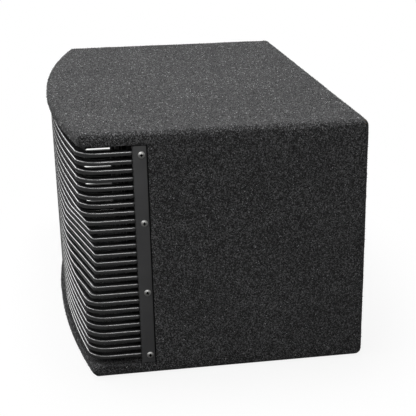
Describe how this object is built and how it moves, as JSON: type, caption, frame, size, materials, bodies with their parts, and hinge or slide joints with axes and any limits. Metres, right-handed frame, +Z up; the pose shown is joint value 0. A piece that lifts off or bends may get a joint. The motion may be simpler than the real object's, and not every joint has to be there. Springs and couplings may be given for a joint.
{
  "type": "powered car subwoofer",
  "caption": "Carpeted powered subwoofer for a car: box with a bowed front, wrap-around bar grille with scooped corners, a woofer behind it and an amplifier plate at the back.",
  "frame": {"origin": "on the floor, in the middle of the footprint", "axes": "+Z up, -Y towards the front (the bowed grille), +X towards the side panel that the picture shows"},
  "size_m": [0.585, 0.382, 0.3],
  "materials": {
    "fibreboard": "raw",
    "black_fibreboard": "matte black paint",
    "charcoal_carpet": "short needled felt",
    "black_grille_plastic": "satin",
    "screw_steel": "blackened",
    "basket_steel": "satin",
    "gasket_foam": "matte",
    "surround_rubber": "satin",
    "trim_rubber": "satin",
    "cone_paper": "matte",
    "cap_plastic": "satin",
    "coil_copper": "enamelled wire",
    "spider_cloth": "resin-stiffened",
    "zinc_steel": "zinc plated",
    "ferrite": "matte",
    "terminal_plastic": "satin",
    "anodised_aluminium": "black anodised",
    "circuit_laminate": "solder mask",
    "transformer_winding": "enamelled wire",
    "capacitor_sleeve": "shrink sleeve",
    "switch_plastic": "matte",
    "knob_plastic": "satin",
    "lamp_lens": "clear red",
    "jack_nickel": "nickel plated",
    "fuse_plastic": "clear amber"
  },
  "bodies": {
    "cabinet": {"top_panel": "fibreboard", "bottom_panel": "fibreboard", "right_side_panel": "fibreboard", "left_side_panel": "fibreboard", "rear_panel": "fibreboard", "front_baffle": "black_fibreboard", "carpet_cover": "charcoal_carpet", "carpet_base": "charcoal_carpet", "grille": "black_grille_plastic", "grille_screw_right_1": "screw_steel", "grille_screw_right_2": "screw_steel", "grille_screw_right_3": "screw_steel", "grille_screw_right_4": "screw_steel", "grille_screw_left_1": "screw_steel", "grille_screw_left_2": "screw_steel", "grille_screw_left_3": "screw_steel", "grille_screw_left_4": "screw_steel", "woofer_screw_1": "screw_steel", "woofer_screw_2": "screw_steel", "woofer_screw_3": "screw_steel", "woofer_screw_4": "screw_steel", "woofer_screw_5": "screw_steel", "woofer_screw_6": "screw_steel", "plate_screw_1": "screw_steel", "plate_screw_2": "screw_steel", "plate_screw_3": "screw_steel", "plate_screw_4": "screw_steel", "plate_screw_5": "screw_steel", "plate_screw_6": "screw_steel", "woofer_basket": "basket_steel", "basket_gasket": "gasket_foam", "surround": "surround_rubber", "trim_ring": "trim_rubber", "spider": "spider_cloth", "front_plate": "zinc_steel", "yoke": "zinc_steel", "magnet_ring": "ferrite", "speaker_terminal": "terminal_plastic", "power_terminal_block": "terminal_plastic", "amp_plate": "anodised_aluminium", "circuit_board": "circuit_laminate", "supply_transformer": "transformer_winding", "filter_capacitor_1": "capacitor_sleeve", "filter_capacitor_2": "capacitor_sleeve", "level_pot": "switch_plastic", "lowpass_pot": "switch_plastic", "boost_pot": "switch_plastic", "phase_switch_body": "switch_plastic", "fuse_holder": "switch_plastic", "power_lamp": "lamp_lens", "line_input_jack": "jack_nickel", "fuse": "fuse_plastic"},
    "cone_assembly": {"cone": "cone_paper", "dust_cap": "cap_plastic", "voice_coil": "coil_copper"},
    "level_control": {"level_knob": "knob_plastic"},
    "lowpass_control": {"lowpass_knob": "knob_plastic"},
    "boost_control": {"boost_knob": "knob_plastic"},
    "phase_control": {"phase_slider": "knob_plastic"}
  },
  "joints": [
    {"name": "cone_stroke", "type": "slide", "parent": "cabinet", "child": "cone_assembly", "axis": [0, -1, 0], "range_m": [-0.008, 0.008], "stiffness_N_per_m": 2500, "deforming": ["surround", "spider"]},
    {"name": "level_turn", "type": "hinge", "parent": "cabinet", "child": "level_control", "pos_m": [-0.098, 0.1788, 0.176], "axis": [0, 1, 0], "range_deg": [-150, 150]},
    {"name": "lowpass_turn", "type": "hinge", "parent": "cabinet", "child": "lowpass_control", "pos_m": [-0.068, 0.1788, 0.176], "axis": [0, 1, 0], "range_deg": [-150, 150]},
    {"name": "boost_turn", "type": "hinge", "parent": "cabinet", "child": "boost_control", "pos_m": [-0.038, 0.1788, 0.176], "axis": [0, 1, 0], "range_deg": [-150, 150]},
    {"name": "phase_slide", "type": "slide", "parent": "cabinet", "child": "phase_control", "axis": [1, 0, 0], "range_m": [0, 0.004]}
  ]
}
